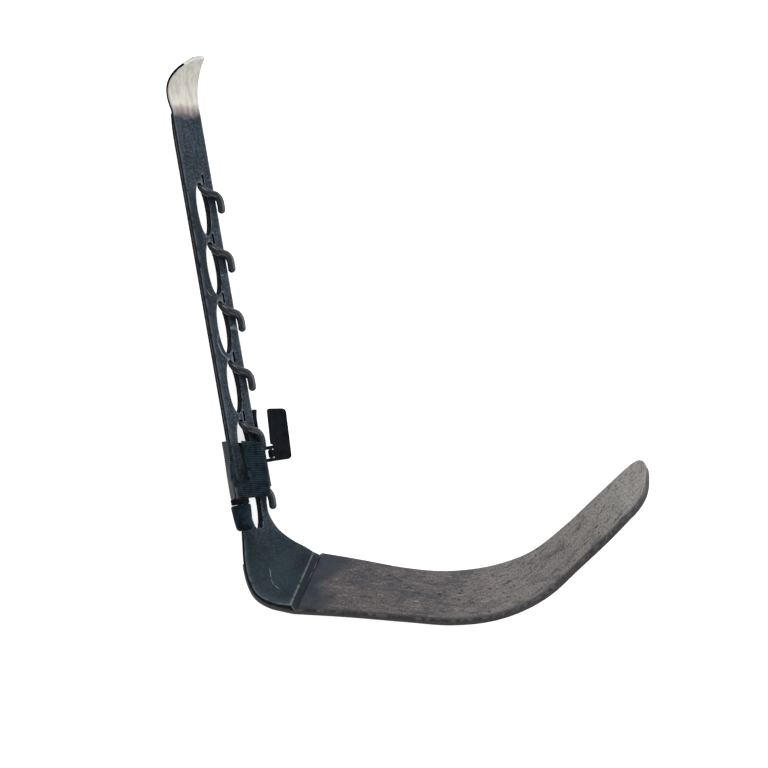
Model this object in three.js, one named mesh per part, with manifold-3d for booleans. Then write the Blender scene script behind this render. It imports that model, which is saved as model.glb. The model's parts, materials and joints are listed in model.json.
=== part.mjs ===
// Rack tool with a hooked, windowed bar, a sliding ribbed sleeve and a curved blade.
//
// The tool lies on its side: +X runs towards the blade's tip, +Y up the bar, and +Z is up from the table.
// The bar leans back a little and is tilted about its own length, so that its inner edge lies lowest.
// Bar pieces are drawn in the bar's own frame: x across the bar, y along it, z out of its front face.
// All sizes are in millimetres.
import * as THREE from "three";
import { mergeVertices } from "three/addons/utils/BufferGeometryUtils.js";
import Module from "manifold-3d";

const wasm = await Module();
wasm.setup();

// ---- driving dimensions -------------------------------------------------------------------------
const GAP = 0.3; // clearance between pieces that touch
const RUNNING = 0.1; // radial clearance of a pin or spindle in its hole

const LEAN = THREE.MathUtils.degToRad(9.85); // the bar's lean away from the blade
const BAR_TILT = THREE.MathUtils.degToRad(22); // the bar's turn about its own length
const BLADE_TILT = THREE.MathUtils.degToRad(35); // the same turn, reached by the blade

const BAR_WIDTH = 14.3;
const BAR_THICK = 3.4;
const STRAP_THICK = 3.0;
const EDGE_CHAMFER = 0.5;
const BAR_TOP = 200.5; // where the straight bar ends and the bent tip starts
const TIP_LENGTH = 24;
const TIP_CUT = 13.4; // how far the tip's left edge comes in
const TIP_BELLY = 6.5; // swell of the left edge before that
const TIP_FLARE = 4.7; // how far its right edge goes out
const TIP_BEND = THREE.MathUtils.degToRad(38);

const SIDE_TOP = 1.0; // top of the sleeve's left wall beside the open slot
const WINDOW_COUNT = 6;
const WINDOW_PITCH = 30;
const WINDOW_LENGTH = 27;
const WINDOW_WIDTH = 6.3;
const LOWEST_WINDOW = -14.5; // lower end of the lowest window

const SLIT_LENGTH = 5.4; // the slit in the web beside each hook's root
const SLIT_WIDTH = 1.0;
const SLIT_X = 2.4;
const SLIT_ABOVE_ROOT = 3.6;
const HOOK_RADIUS = 1.95;
const HOOK_RISE = 2.3; // height of the hook's centreline over the bar's face
const HOOK_ABOVE_WINDOW = 24.5; // hook root, up from the lower end of its window

const BLADE_THICK = 5.0;
const HEEL_END_Z = -2.6; // height of the heel's inner edge
const BEVEL_DEPTH = 2.4; // how far the heel's end slopes down towards the blade
const RIVET_RADIUS = 2.0;
const STRAP_RIVET_RADIUS = 1.0;

const SLEEVE_BOTTOM = 2.7;
const SLEEVE_HEIGHT = 28.3;
const SLEEVE_TAPER = 1.3; // how much the right side comes in at the bottom
const SLEEVE_HALF_WIDTH = 9.2;
const SLEEVE_FRONT = 6.4;
const SLEEVE_FRONT_WALL = 1.7;
const SLEEVE_BACK = -9.9;
const SLEEVE_WALL = 1.7;
const BOTTOM_SLANT = Math.tan(THREE.MathUtils.degToRad(4.5)); // the end faces drop to the right
const TOP_SLANT = Math.tan(THREE.MathUtils.degToRad(12.5));
const SLOT_SLANT = Math.tan(THREE.MathUtils.degToRad(9));
const SLOT_BOTTOM = 11.2;
const SLOT_RIGHT = -3.2;

const KNOB_X = -9.4;
const KNOB_Z = 5.3;
const KNOB_RADIUS = 5.0;
const KNOB_TOP = 0.4;
const KNOB_LENGTH = 13.0;
const COLLAR_RADIUS = 4.6;
const SPINDLE_RADIUS = 1.4;

const TAB_PIN_X = 10.9;
const TAB_PIN_Z = 6.2;
const TAB_THICK = 1.6;
const TAB_PIN_RADIUS = 0.85;
const KNUCKLE_RADIUS = 1.5;
const KNUCKLE_BOTTOM = 21.0;
const KNUCKLE_TOP = 24.7;
const EAR_LENGTH = 1.8;

// ---- materials ----------------------------------------------------------------------------------
const finish = (color, roughness, metalness) => new THREE.MeshStandardMaterial({ color, roughness, metalness });
const darkSteel = finish(0x3f4a54, 0.42, 0.85);
const wornSteel = finish(0x77726f, 0.6, 0.7);
const ribbedBlack = finish(0x16232b, 0.55, 0.1);
const tabBlack = finish(0x0c0f18, 0.4, 0.1);
const pinSteel = finish(0x8b9095, 0.35, 0.9);
const linerGrey = finish(0x50555a, 0.6, 0.0);

// ---- solid helpers ------------------------------------------------------------------------------
/** A closed three.js geometry as a manifold solid. */
function solid(geometry) {
  const bare = (geometry.index ? geometry.toNonIndexed() : geometry.clone()).deleteAttribute("normal");
  bare.deleteAttribute("uv");
  const merged = mergeVertices(bare, 1e-4);
  return new wasm.Manifold(
    new wasm.Mesh({
      numProp: 3,
      vertProperties: merged.attributes.position.array,
      triVerts: new Uint32Array(merged.index.array),
    }),
  );
}

/** A manifold solid back as a three.js geometry. */
function geometryOf(body) {
  const mesh = body.getMesh();
  return new THREE.BufferGeometry()
    .setAttribute("position", new THREE.BufferAttribute(mesh.vertProperties, 3))
    .setIndex(new THREE.BufferAttribute(mesh.triVerts, 1));
}

/** A closed skin through rings of equal length, with flat ends. Rings turn anticlockwise seen from the last. */
function loft(rings) {
  const size = rings[0].length;
  const points = rings.flat();
  const index = [];
  for (let ring = 0; ring + 1 < rings.length; ring += 1) {
    for (let i = 0; i < size; i += 1) {
      const a = ring * size + i;
      const b = ring * size + ((i + 1) % size);
      index.push(a, b, a + size, b, b + size, a + size);
    }
  }
  const last = (rings.length - 1) * size;
  for (let i = 1; i + 1 < size; i += 1) {
    index.push(0, i + 1, i);
    index.push(last, last + i, last + i + 1);
  }
  const geometry = new THREE.BufferGeometry().setFromPoints(points);
  geometry.setIndex(index);
  return geometry;
}

/** The ring of a flat bar's section: a chamfered rectangle between two face corners, going back along the normal. */
function barRing(outer, inner, normal, top, bottom) {
  const across = inner.clone().sub(outer).normalize();
  const at = (base, along, depth) => base.clone().addScaledVector(across, along).addScaledVector(normal, depth);
  const c = Math.min(EDGE_CHAMFER, inner.distanceTo(outer) * 0.2, (top - bottom) * 0.3);
  return [
    at(inner, -c, top),
    at(inner, 0, top - c),
    at(inner, 0, bottom + c),
    at(inner, -c, bottom),
    at(outer, c, bottom),
    at(outer, 0, bottom + c),
    at(outer, 0, top - c),
    at(outer, c, top),
  ];
}

/** A prism of a shape drawn in x and y, from z0 to z1. */
function prism(shape, z0, z1, curveSegments = 10) {
  const depth = z1 - z0;
  return new THREE.ExtrudeGeometry(shape, { depth, bevelEnabled: false, curveSegments }).translate(0, 0, z0);
}

/** A cylinder with its axis along y, centred on x and z, from y0 to y1. */
function rod(radius, x, z, y0, y1, sides = 24) {
  return new THREE.CylinderGeometry(radius, radius, y1 - y0, sides).translate(x, (y0 + y1) / 2, z);
}

/** A box between two corners. */
function block(x0, x1, y0, y1, z0, z1) {
  return new THREE.BoxGeometry(x1 - x0, y1 - y0, z1 - z0).translate((x0 + x1) / 2, (y0 + y1) / 2, (z0 + z1) / 2);
}

const mesh = (name, geometry, material) => Object.assign(new THREE.Mesh(geometry, material), { name });

// ---- the bar's frame ----------------------------------------------------------------------------
const barFrame = new THREE.Matrix4().makeRotationFromEuler(new THREE.Euler(0, BAR_TILT, LEAN, "ZYX"));
const barGroup = new THREE.Group();
barGroup.rotation.set(0, BAR_TILT, LEAN, "ZYX");
const toBar = barFrame.clone().invert();

// ---- bar and heel -------------------------------------------------------------------------------
// Edges of the heel's face seen from above, from the bar's end to the step where the blade starts.
const plan = (points) => new THREE.CatmullRomCurve3(points.map(([x, y]) => new THREE.Vector3(x, y, 0)));
const heelOuter = plan([
  [-7.0, -1.0],
  [-5.8, -10],
  [-5.1, -19],
  [-4.2, -30],
  [-1.8, -38.8],
  [2.4, -45.1],
  [9.5, -48.7],
  [18.4, -50.2],
]);
const heelInner = plan([
  [6.0, 1.2],
  [7.4, -5.5],
  [11.4, -12.2],
  [15.2, -15.7],
  [20.2, -19.1],
  [25.2, -21.6],
  [29.6, -24.4],
]);

/** A station of a tilted band: its two face corners and its normal, in the part's frame. */
function station(outer, inner, innerZ, tilt) {
  const across = inner.clone().sub(outer);
  const inward = across.clone().normalize();
  const high = outer.clone().setZ(innerZ + across.length() * Math.tan(tilt));
  const low = inner.clone().setZ(innerZ);
  const normal = inward.multiplyScalar(Math.sin(tilt)).setZ(Math.cos(tilt));
  return { outer: high, inner: low, normal };
}

const HEEL_STEPS = 12;
/** The heel's stations, from the step (share 1) up to the bar's end (share 0). */
function heelStation(share) {
  const tilt = THREE.MathUtils.lerp(BAR_TILT, BLADE_TILT, share);
  return station(heelOuter.getPoint(share), heelInner.getPoint(share), HEEL_END_Z, tilt);
}

/** The straight bar's station at a height y, moved into the part's frame. */
function barStation(y, left = -BAR_WIDTH / 2, right = BAR_WIDTH / 2, z = 0, bend = 0) {
  const turn = (v) => v.applyMatrix4(barFrame);
  return {
    outer: turn(new THREE.Vector3(left, y, z)),
    inner: turn(new THREE.Vector3(right, y, z)),
    normal: turn(new THREE.Vector3(0, -Math.sin(bend), Math.cos(bend))),
  };
}

/** The bent tip: it narrows to a point that leans to the right. */
function tipStations() {
  const steps = 10;
  const made = [];
  for (let i = 1; i <= steps; i += 1) {
    const share = i / steps;
    const bend = TIP_BEND * share;
    const radius = TIP_LENGTH / TIP_BEND;
    const y = BAR_TOP + radius * Math.sin(bend);
    const z = radius * (1 - Math.cos(bend));
    const left = -BAR_WIDTH / 2 + TIP_CUT * share ** 4 - TIP_BELLY * share * (1 - share);
    const right = BAR_WIDTH / 2 + TIP_FLARE * share ** 1.9;
    made.push(barStation(y, left, right, z, bend));
  }
  return made;
}

/** The height of a hook's root up the bar. */
const hookRoot = (i) => LOWEST_WINDOW + i * WINDOW_PITCH + HOOK_ABOVE_WINDOW;

function windows(z0, z1) {
  const cuts = [];
  for (let i = 0; i < WINDOW_COUNT; i += 1) {
    const middle = LOWEST_WINDOW + i * WINDOW_PITCH + WINDOW_LENGTH / 2;
    const shape = new THREE.Shape().absellipse(0, middle, WINDOW_WIDTH / 2, WINDOW_LENGTH / 2, 0, 2 * Math.PI);
    cuts.push(solid(prism(shape, z0, z1, 14).applyMatrix4(barFrame)));
  }
  return cuts;
}

/** The heel's bevelled end, where it meets the blade. */
function bevelRing(top = -BEVEL_DEPTH, bottom = -BAR_THICK) {
  const s = station(new THREE.Vector3(21.0, -52.2, 0), new THREE.Vector3(33.4, -24.9, 0), HEEL_END_Z, BLADE_TILT);
  return barRing(s.outer, s.inner, s.normal, top, bottom);
}

function rackBar() {
  const stations = [];
  for (let i = HEEL_STEPS; i >= 1; i -= 1) stations.push(heelStation(i / HEEL_STEPS));
  stations.push(barStation(2), barStation(BAR_TOP), ...tipStations());
  const rings = stations.map((s) => barRing(s.outer, s.inner, s.normal, 0, -BAR_THICK));
  let body = solid(loft([bevelRing(), ...rings]));
  for (const cut of [...windows(-BAR_THICK - 1, 1), ...slits()]) body = body.subtract(cut);
  for (const share of HEEL_RIVETS) body = body.subtract(solid(heelRivet(share, GAP)));
  for (const y of STRAP_RIVETS) body = body.subtract(solid(strapRivet(y, GAP).applyMatrix4(barFrame)));
  return geometryOf(body).applyMatrix4(toBar);
}

function slits() {
  const cuts = [];
  const end = (SLIT_LENGTH - SLIT_WIDTH) / 2;
  for (let i = 0; i < WINDOW_COUNT; i += 1) {
    const y = hookRoot(i) + SLIT_ABOVE_ROOT;
    const shape = new THREE.Shape()
      .absarc(SLIT_X, y + end, SLIT_WIDTH / 2, 0, Math.PI)
      .absarc(SLIT_X, y - end, SLIT_WIDTH / 2, Math.PI, 2 * Math.PI);
    cuts.push(solid(prism(shape, -BAR_THICK - 1, 1, 5).applyMatrix4(barFrame)));
  }
  return cuts;
}

const STRAP_BOTTOM = -15.5;
const STRAP_TOP = 199;
const STRAP_END_TAPER = 9; // the strap's top end narrows over this length
const STRAP_END_INSET = 0.7;
function backingStrap() {
  const bottom = -BAR_THICK - GAP - STRAP_THICK;
  const stations = [barStation(STRAP_BOTTOM), barStation(STRAP_TOP - STRAP_END_TAPER)];
  stations.push(barStation(STRAP_TOP, -BAR_WIDTH / 2 + STRAP_END_INSET, BAR_WIDTH / 2 - STRAP_END_INSET));
  const rings = stations.map((s) => {
    return barRing(s.outer, s.inner, s.normal, -BAR_THICK - GAP, bottom);
  });
  let body = solid(loft(rings));
  for (const cut of windows(bottom - 1, 1)) body = body.subtract(cut);
  for (const y of STRAP_RIVETS) body = body.subtract(solid(strapRivet(y, GAP).applyMatrix4(barFrame)));
  return geometryOf(body).applyMatrix4(toBar);
}

// ---- rivets -------------------------------------------------------------------------------------
const STRAP_RIVETS = [14, 74, 134, 182]; // heights up the bar, in its left rail
const HEEL_RIVETS = [0.55, 0.72, 0.89]; // shares along the heel

/** A blind rivet through the strap into the bar's back, flush with the strap. */
function strapRivet(y, grow = 0) {
  const length = BAR_THICK + STRAP_THICK + GAP - 1.2 + grow;
  const bottom = -BAR_THICK - GAP - STRAP_THICK - grow;
  const pin = new THREE.CylinderGeometry(STRAP_RIVET_RADIUS + grow, STRAP_RIVET_RADIUS + grow, length + grow, 16);
  return pin.rotateX(Math.PI / 2).translate(-4.7, y, bottom + (length + grow) / 2);
}

/** A blind rivet from the tang's underside up into the heel, at a share along the heel. */
function heelRivet(share, grow = 0) {
  const s = heelStation(share);
  const top = -1.4 + grow;
  const bottom = -BLADE_DROP - BLADE_THICK + 0.2 - grow * 4;
  const radius = RIVET_RADIUS + grow;
  const pin = new THREE.CylinderGeometry(radius, radius, top - bottom, 20).translate(0, (top + bottom) / 2, 0);
  pin.applyQuaternion(new THREE.Quaternion().setFromUnitVectors(new THREE.Vector3(0, 1, 0), s.normal));
  const middle = s.outer.clone().lerp(s.inner, 0.5);
  return pin.translate(middle.x, middle.y, middle.z);
}

// ---- hooks --------------------------------------------------------------------------------------
/** One round hook: it leaves the web, dips beside the window, crosses the right rail and turns down. */
function hook(rootY) {
  const route = new THREE.CatmullRomCurve3(
    [
      [-1.0, 1.2, -0.6],
      [0.9, -0.9, 0.8],
      [2.8, -3.1, 2.0],
      [4.8, -4.2, HOOK_RISE],
      [7.0, -5.4, HOOK_RISE],
      [8.3, -7.6, HOOK_RISE],
      [8.6, -10.4, HOOK_RISE],
      [8.5, -12.9, HOOK_RISE],
    ].map(([x, y, z]) => new THREE.Vector3(x, rootY + y, z)),
  );
  const section = new THREE.Shape().absarc(0, 0, HOOK_RADIUS, 0, 2 * Math.PI);
  const shank = new THREE.ExtrudeGeometry(section, { extrudePath: route, steps: 18, curveSegments: 8 });
  const end = route.getPoint(1);
  const tip = new THREE.SphereGeometry(HOOK_RADIUS * 0.985, 14, 10).translate(end.x, end.y, end.z);
  const under = block(-12, 12, rootY - 12, rootY + 8, -6, GAP);
  return geometryOf(solid(shank).add(solid(tip)).subtract(solid(under)));
}

// ---- blade --------------------------------------------------------------------------------------
// Edges of the blade's face seen from above, from the step to the tip.
const bladeOuter = plan([
  [20.6, -52.8],
  [47, -54.4],
  [75, -56.8],
  [97.6, -58.5],
  [116.6, -56.8],
  [131.8, -52.2],
  [146.5, -44.1],
  [162, -30.1],
  [176.7, -16.3],
  [187.2, -5.5],
]);
const bladeInner = plan([
  [34.0, -25.0],
  [54, -28.4],
  [74, -32.1],
  [92, -33.9],
  [108, -33.1],
  [122, -30.4],
  [138, -24.3],
  [154, -12.2],
  [168.5, 1.3],
  [180, 12.1],
]);
const BLADE_DROP = BAR_THICK + GAP; // the blade's face lies this far behind the heel's face
const bladeInnerZ = HEEL_END_Z - BLADE_DROP / Math.cos(BLADE_TILT);
const BLADE_STEPS = 26;
// Corners of the rounded tip's face: x and y of the outer one, then of the inner one.
const TIP_CORNERS = [
  [190.4, -1.9, 184.8, 16.5],
  [193.3, 2.2, 188.9, 19.9],
  [195.3, 6.8, 192.2, 21.6],
  [196.1, 11.6, 194.6, 21.0],
  [196.2, 15.2, 195.9, 18.7],
];
const TIP_FACING = THREE.MathUtils.degToRad(125); // the way the tip's face leans, seen from above
const TANG_TOP = 0.42; // share of the heel that the tang reaches up to

function blade() {
  const rings = [];
  const last = station(bladeOuter.getPoint(1), bladeInner.getPoint(1), bladeInnerZ, BLADE_TILT);
  const lean = Math.sin(BLADE_TILT);
  const facing = new THREE.Vector3(lean * Math.cos(TIP_FACING), lean * Math.sin(TIP_FACING), Math.cos(BLADE_TILT));
  const tipPlane = new THREE.Plane().setFromNormalAndCoplanarPoint(facing, last.inner);
  const onPlane = (x, y) => new THREE.Vector3(x, y, -(tipPlane.constant + facing.x * x + facing.y * y) / facing.z);
  for (const [ox, oy, ix, iy] of [...TIP_CORNERS].reverse()) {
    rings.push(barRing(onPlane(ox, oy), onPlane(ix, iy), facing, 0, -BLADE_THICK));
  }
  for (let i = BLADE_STEPS; i >= 0; i -= 1) {
    const share = i / BLADE_STEPS;
    const s = station(bladeOuter.getPoint(share), bladeInner.getPoint(share), bladeInnerZ, BLADE_TILT);
    rings.push(barRing(s.outer, s.inner, s.normal, 0, -BLADE_THICK));
  }
  for (let i = HEEL_STEPS; i >= TANG_TOP * HEEL_STEPS; i -= 1) {
    const share = Math.min(i / HEEL_STEPS, 0.985);
    const s = heelStation(share);
    const outer = s.outer.clone().lerp(s.inner, 0.1 * (1 - share));
    const inner = s.inner.clone().lerp(s.outer, 0.1);
    rings.push(barRing(outer, inner, s.normal, -BLADE_DROP, -BLADE_DROP - BLADE_THICK));
  }
  const clearance = [bevelRing(1, -BAR_THICK - GAP)];
  for (let i = HEEL_STEPS; i >= 0; i -= 1) {
    const s = heelStation(i / HEEL_STEPS);
    clearance.push(barRing(s.outer, s.inner, s.normal, 1, -BAR_THICK - GAP));
  }
  let body = solid(loft(rings)).subtract(solid(loft(clearance)));
  for (const share of HEEL_RIVETS) body = body.subtract(solid(heelRivet(share, GAP)));
  return geometryOf(body);
}

// ---- sleeve -------------------------------------------------------------------------------------
/** The sleeve's end faces and slots drop towards the right. */
function slant(geometry) {
  const p = geometry.attributes.position;
  for (let i = 0; i < p.count; i += 1) {
    const up = (p.getY(i) - SLEEVE_BOTTOM) / SLEEVE_HEIGHT;
    const steepness = BOTTOM_SLANT + (TOP_SLANT - BOTTOM_SLANT) * up;
    p.setY(i, p.getY(i) - steepness * p.getX(i));
  }
  return geometry;
}

/** Brings the right side in towards the bottom. */
function taper(geometry) {
  const p = geometry.attributes.position;
  for (let i = 0; i < p.count; i += 1) {
    const down = 1 - (p.getY(i) - SLEEVE_BOTTOM) / SLEEVE_HEIGHT;
    if (p.getX(i) > 0) p.setX(i, p.getX(i) - SLEEVE_TAPER * down);
  }
  return geometry;
}

/** The sleeve's outline, with round corners, as a prism along y. */
function sleeveBlank() {
  const w = SLEEVE_HALF_WIDTH;
  const r = 1.6;
  const shape = new THREE.Shape()
    .moveTo(-w + r, SLEEVE_BACK)
    .lineTo(w - r, SLEEVE_BACK)
    .absarc(w - r, SLEEVE_BACK + r, r, -Math.PI / 2, 0)
    .lineTo(w, SLEEVE_FRONT - r)
    .absarc(w - r, SLEEVE_FRONT - r, r, 0, Math.PI / 2)
    .lineTo(-w + r, SLEEVE_FRONT)
    .absarc(-w + r, SLEEVE_FRONT - r, r, Math.PI / 2, Math.PI)
    .lineTo(-w, SLEEVE_BACK + r)
    .absarc(-w + r, SLEEVE_BACK + r, r, Math.PI, 1.5 * Math.PI);
  return upright(shape, SLEEVE_BOTTOM, SLEEVE_BOTTOM + SLEEVE_HEIGHT, 5);
}

/** A prism along y of a shape drawn in x and z. */
function upright(shape, y0, y1, curveSegments) {
  const drawn = prism(shape, 0, y1 - y0, curveSegments).rotateX(-Math.PI / 2).scale(1, 1, -1);
  return flip(drawn).translate(0, y0, 0);
}

/** Turns a mirrored geometry's faces back outwards. */
function flip(geometry) {
  const bare = geometry.index ? geometry.toNonIndexed() : geometry;
  const p = bare.attributes.position;
  for (let i = 0; i < p.count; i += 3) {
    const keep = new THREE.Vector3().fromBufferAttribute(p, i + 1);
    p.setXYZ(i + 1, p.getX(i + 2), p.getY(i + 2), p.getZ(i + 2));
    p.setXYZ(i + 2, keep.x, keep.y, keep.z);
  }
  return bare;
}

const STACK_BACK = -BAR_THICK - GAP - STRAP_THICK; // the strap's back face
const LINER_THICK = 1.0;
const LEAF_THICK = 1.6;
const LEAF_X = BAR_WIDTH / 2 + GAP; // the leaf stands beside the bar's right edge
const LEAF_FRONT = -0.5;
const LEAF_BACK = -6.0;
const FAR = 60;

/** The thick corner of the sleeve that carries the knob's spindle. */
function shoulder() {
  const shape = new THREE.Shape()
    .moveTo(-8.2, 6.2)
    .lineTo(-9.0, -6.0)
    .lineTo(-12.6, 3.0)
    .quadraticCurveTo(-13.6, 7.6, -9.8, 8.2)
    .lineTo(-3.0, 6.2);
  return slant(upright(shape, SLEEVE_BOTTOM, SLOT_BOTTOM - 1.2, 6));
}

function sleeve() {
  const inside = SLEEVE_HALF_WIDTH - SLEEVE_WALL;
  const frontInside = SLEEVE_FRONT - SLEEVE_FRONT_WALL;
  const backInside = STACK_BACK - LINER_THICK - 2 * GAP;
  const leafSide = LEAF_X + LEAF_THICK + GAP;
  const y0 = SLEEVE_BOTTOM + 4;
  const y1 = SLEEVE_BOTTOM + SLEEVE_HEIGHT - 4;
  let body = solid(slant(taper(sleeveBlank())));
  const shear = new THREE.Matrix4().set(1, 0, 0, 0, -SLOT_SLANT, 1, 0, 0, 0, 0, 1, 0, 0, 0, 0, 1);
  const frontSlot = block(-FAR, SLOT_RIGHT, SLOT_BOTTOM, FAR, SIDE_TOP, FAR).applyMatrix4(shear);
  body = body.subtract(solid(frontSlot)).add(solid(shoulder()));
  body = body.add(solid(block(4, leafSide + 1.4, y0, y1, SLEEVE_BACK + 0.6, LEAF_FRONT - 0.6)));
  for (const y of [KNUCKLE_BOTTOM - GAP - EAR_LENGTH, KNUCKLE_TOP + GAP]) {
    const ear = rod(KNUCKLE_RADIUS, TAB_PIN_X, TAB_PIN_Z, y, y + EAR_LENGTH, 20);
    const web = block(6, TAB_PIN_X, y, y + EAR_LENGTH, frontInside + 0.1, SLEEVE_FRONT - 0.1);
    body = body.add(solid(ear)).add(solid(web));
  }
  const cuts = [
    block(-inside, LEAF_X, -FAR, FAR, backInside, frontInside), // the bar's way through
    block(0, leafSide, -FAR, FAR, LEAF_BACK - GAP, 0), // room for the leaf
    block(0, FAR, -FAR, FAR, -0.1, frontInside), // the hooks' way through
    block(SLEEVE_HALF_WIDTH - 0.5, FAR, KNUCKLE_BOTTOM - GAP, KNUCKLE_TOP + GAP, frontInside, FAR),
    rod(TAB_PIN_RADIUS + RUNNING, TAB_PIN_X, TAB_PIN_Z, 10, 35, 16),
    rod(SPINDLE_RADIUS + RUNNING, KNOB_X, KNOB_Z, -FAR, SLOT_BOTTOM - 1.5, 20),
    rod(COLLAR_RADIUS + GAP, KNOB_X, KNOB_Z, -FAR, SLEEVE_BOTTOM + 1.3, 28), // seat of the collar
  ];
  for (const cut of cuts) body = body.subtract(solid(cut));
  return geometryOf(body);
}

/** The leaf spring that stands out of the sleeve's top beside the bar's right edge. */
function edgeLeaf() {
  const top = SLEEVE_BOTTOM + SLEEVE_HEIGHT + 15.1;
  const shape = new THREE.Shape()
    .moveTo(LEAF_X, SLEEVE_BOTTOM + 3)
    .lineTo(LEAF_X + LEAF_THICK, SLEEVE_BOTTOM + 3)
    .lineTo(LEAF_X + LEAF_THICK, top - 7)
    .quadraticCurveTo(LEAF_X + LEAF_THICK + 0.2, top - 3, LEAF_X + LEAF_THICK + 0.8, top)
    .lineTo(LEAF_X + 0.8, top)
    .quadraticCurveTo(LEAF_X + 0.2, top - 3, LEAF_X, top - 7);
  return prism(shape, LEAF_BACK, LEAF_FRONT, 5);
}

const backLiner = () =>
  block(-6.4, 6.4, SLEEVE_BOTTOM + 2, SLEEVE_BOTTOM + SLEEVE_HEIGHT - 2, STACK_BACK - GAP - LINER_THICK, STACK_BACK - GAP);

// ---- knob ---------------------------------------------------------------------------------------
/** A turned piece about the knob's axis, from its half profile of [radius, y] points. */
function turned(profile, sides = 28) {
  const points = profile.map(([r, y]) => new THREE.Vector2(r, y));
  return new THREE.LatheGeometry(points, sides).translate(KNOB_X, 0, KNOB_Z);
}

function knob() {
  const bottom = KNOB_TOP - KNOB_LENGTH;
  const bore = SPINDLE_RADIUS + GAP;
  return turned([
    [0, bottom],
    [2.6, bottom],
    [3.6, bottom + 0.5],
    [4.2, bottom + 1.6],
    [KNOB_RADIUS - 0.1, bottom + 9.5],
    [KNOB_RADIUS, KNOB_TOP - 0.5],
    [KNOB_RADIUS - 0.5, KNOB_TOP],
    [bore, KNOB_TOP],
    [bore, KNOB_TOP - 8],
    [0, KNOB_TOP - 8],
  ]);
}

function collar() {
  const bottom = KNOB_TOP + GAP;
  const top = SLEEVE_BOTTOM + 1.3 - GAP;
  const bore = SPINDLE_RADIUS + GAP;
  return turned([
    [bore, bottom],
    [COLLAR_RADIUS, bottom],
    [COLLAR_RADIUS, top],
    [bore, top],
    [bore, bottom],
  ]);
}

const spindle = () => rod(SPINDLE_RADIUS, KNOB_X, KNOB_Z, KNOB_TOP - 8 + GAP, SLOT_BOTTOM - 1.8, 20);

// ---- thumb tab ----------------------------------------------------------------------------------
function thumbTab() {
  const bottom = KNUCKLE_BOTTOM - GAP - EAR_LENGTH;
  const earTop = KNUCKLE_TOP + GAP + EAR_LENGTH;
  const clear = TAB_PIN_X + KNUCKLE_RADIUS + GAP;
  const shape = new THREE.Shape()
    .moveTo(TAB_PIN_X, KNUCKLE_BOTTOM)
    .lineTo(clear, KNUCKLE_BOTTOM)
    .lineTo(clear, bottom)
    .lineTo(19.2, bottom - 0.2)
    .quadraticCurveTo(21.2, bottom - 0.2, 21.2, bottom + 1.9)
    .lineTo(22.3, 42.0)
    .quadraticCurveTo(22.3, 44.1, 20.3, 44.3)
    .lineTo(13.6, 45.2)
    .quadraticCurveTo(12.8, 45.2, 12.7, 44.3)
    .lineTo(11.5, earTop + 3 * GAP)
    .lineTo(clear, earTop + GAP)
    .lineTo(clear, KNUCKLE_TOP)
    .lineTo(TAB_PIN_X, KNUCKLE_TOP);
  const plate = prism(shape, TAB_PIN_Z - TAB_THICK / 2, TAB_PIN_Z + TAB_THICK / 2, 6);
  const knuckle = rod(KNUCKLE_RADIUS, TAB_PIN_X, TAB_PIN_Z, KNUCKLE_BOTTOM, KNUCKLE_TOP, 20);
  const hole = rod(TAB_PIN_RADIUS + RUNNING, TAB_PIN_X, TAB_PIN_Z, 10, 35, 16);
  return geometryOf(solid(plate).add(solid(knuckle)).subtract(solid(hole)));
}

const tabPin = () =>
  rod(TAB_PIN_RADIUS, TAB_PIN_X, TAB_PIN_Z, KNUCKLE_BOTTOM - GAP - EAR_LENGTH, KNUCKLE_TOP + GAP + EAR_LENGTH, 16);

// ---- assembly -----------------------------------------------------------------------------------
barGroup.add(mesh("rack_bar", rackBar(), darkSteel));
barGroup.add(mesh("backing_strap", backingStrap(), darkSteel));
for (let i = 0; i < WINDOW_COUNT; i += 1) {
  barGroup.add(mesh(`hook_${WINDOW_COUNT - i}`, hook(hookRoot(i)), darkSteel));
}
barGroup.add(mesh("sleeve", sleeve(), ribbedBlack));
barGroup.add(mesh("sleeve_liner", backLiner(), linerGrey));
barGroup.add(mesh("edge_leaf", edgeLeaf(), ribbedBlack));
STRAP_RIVETS.forEach((y, i) => barGroup.add(mesh(`strap_rivet_${i + 1}`, strapRivet(y), pinSteel)));
barGroup.add(mesh("knob", knob(), ribbedBlack));
barGroup.add(mesh("knob_collar", collar(), tabBlack));
barGroup.add(mesh("knob_spindle", spindle(), pinSteel));
barGroup.add(mesh("thumb_tab", thumbTab(), tabBlack));
barGroup.add(mesh("tab_pin", tabPin(), pinSteel));

const tool = new THREE.Group();
tool.add(barGroup, mesh("blade", blade(), wornSteel));
HEEL_RIVETS.forEach((share, i) => tool.add(mesh(`heel_rivet_${i + 1}`, heelRivet(share), pinSteel)));

// The part's origin is the middle of its box at the bottom.
const box = new THREE.Box3().setFromObject(tool, true);
const middle = box.getCenter(new THREE.Vector3());
tool.position.set(-middle.x, -middle.y, -box.min.z);

const part = new THREE.Group();
part.add(tool);
export default part;
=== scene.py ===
import json
import math

import bmesh
import bpy
from mathutils import Matrix, Vector, noise


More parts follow.
